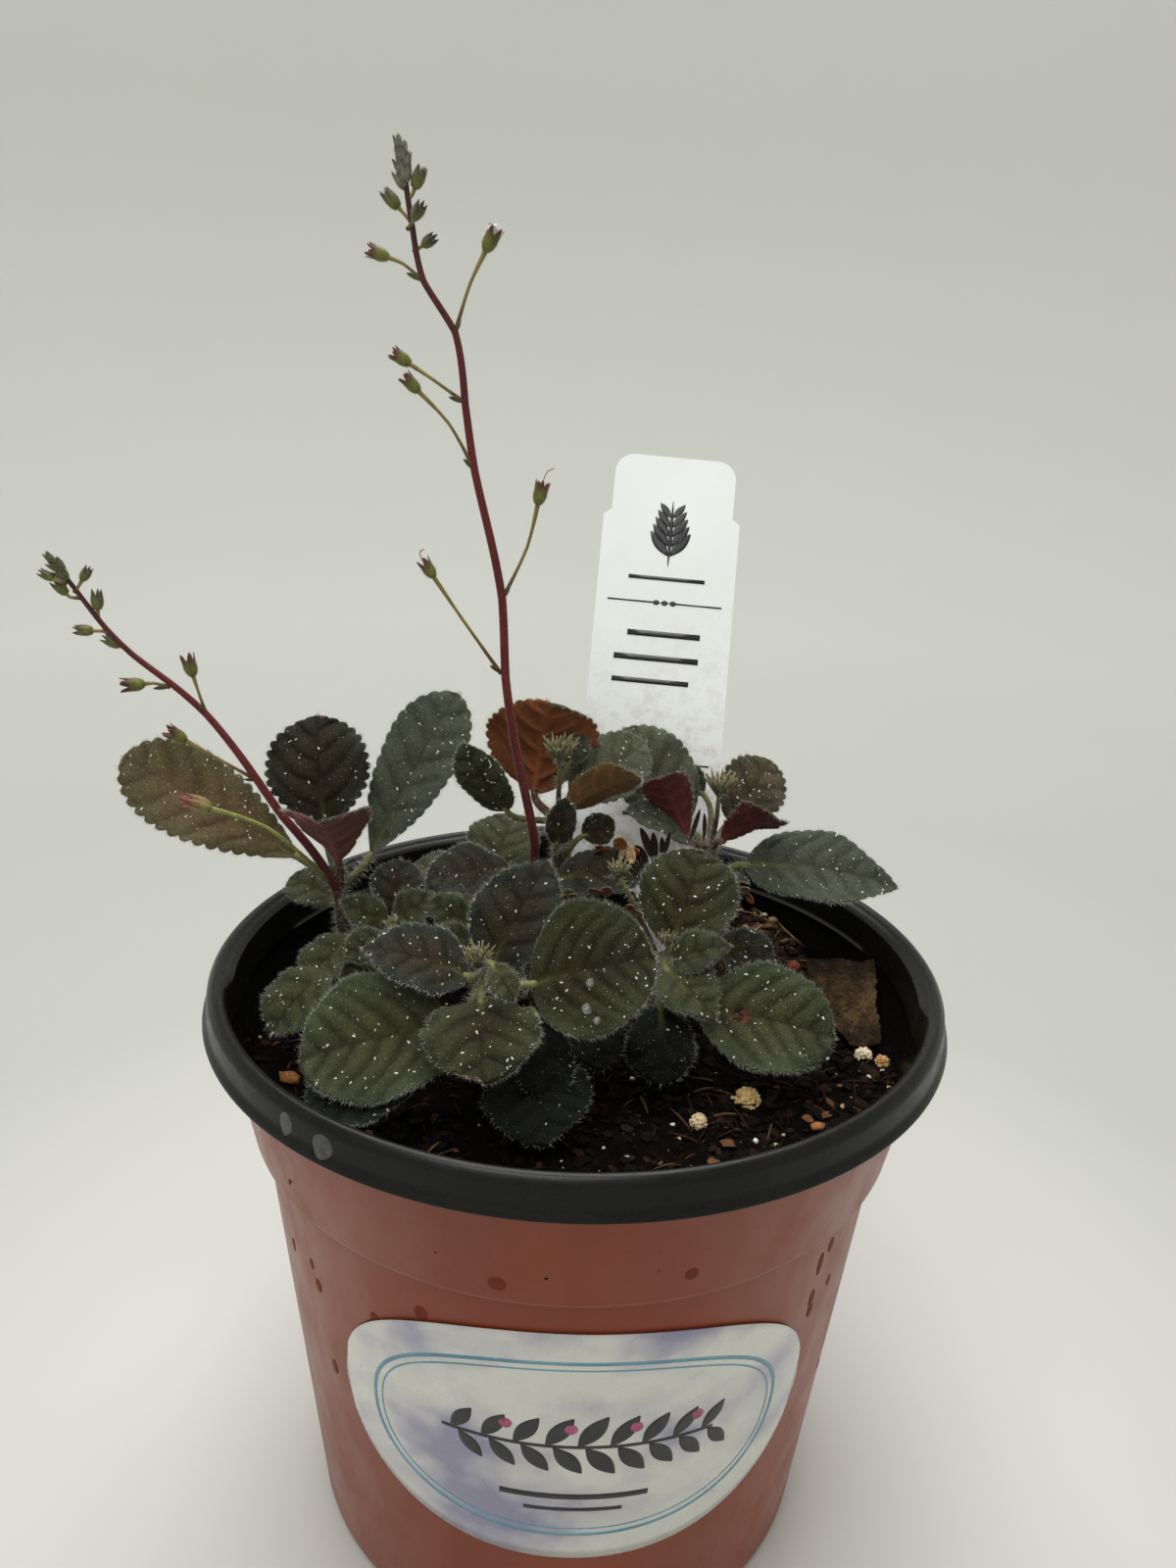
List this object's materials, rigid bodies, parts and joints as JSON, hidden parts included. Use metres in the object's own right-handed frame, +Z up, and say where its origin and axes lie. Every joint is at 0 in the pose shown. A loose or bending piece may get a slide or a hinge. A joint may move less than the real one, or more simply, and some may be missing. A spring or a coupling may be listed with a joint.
{
  "type": "potted gloxinia erinoides",
  "caption": "Velvety scalloped-leaved gloxinia with slender red racemes of small flowers and buds, growing in a filled nursery pot with a blank plant label.",
  "frame": {"origin": "centre of the underside of the pot's flat base", "axes": "+Z up through the middle of the pot, -Y towards the front, where the sticker is, +X to the right as seen from the front"},
  "size_m": [0.1927, 0.1684, 0.2995],
  "materials": {
    "pot_plastic": "satin terracotta outside, black lip and inside",
    "sticker_film": "glossy silver-white film",
    "perlite": "rough, stained",
    "potting_mix": "loose, dark and fibrous",
    "label_plastic": "matte white",
    "dry_leaf": "crumpled, dry brown",
    "leaf": "velvety dark olive, red-brown underside",
    "raceme": "dark red, finely hairy"
  },
  "bodies": {
    "root": {"pot": "pot_plastic", "pot_sticker": "sticker_film", "perlite_front": "perlite", "perlite_right": "perlite", "perlite_side": "perlite", "perlite_middle": "perlite", "soil": "potting_mix", "plant_label": "label_plastic", "dry_leaf": "dry_leaf", "shoot_front": "leaf", "shoot_left": "leaf", "shoot_right": "leaf", "shoot_middle": "leaf", "shoot_tall": "leaf", "shoot_back_right": "leaf", "shoot_far_left": "leaf", "shoot_back_left": "leaf", "shoot_back": "leaf", "raceme_tall": "raceme", "raceme_left": "raceme"}
  },
  "joints": []
}
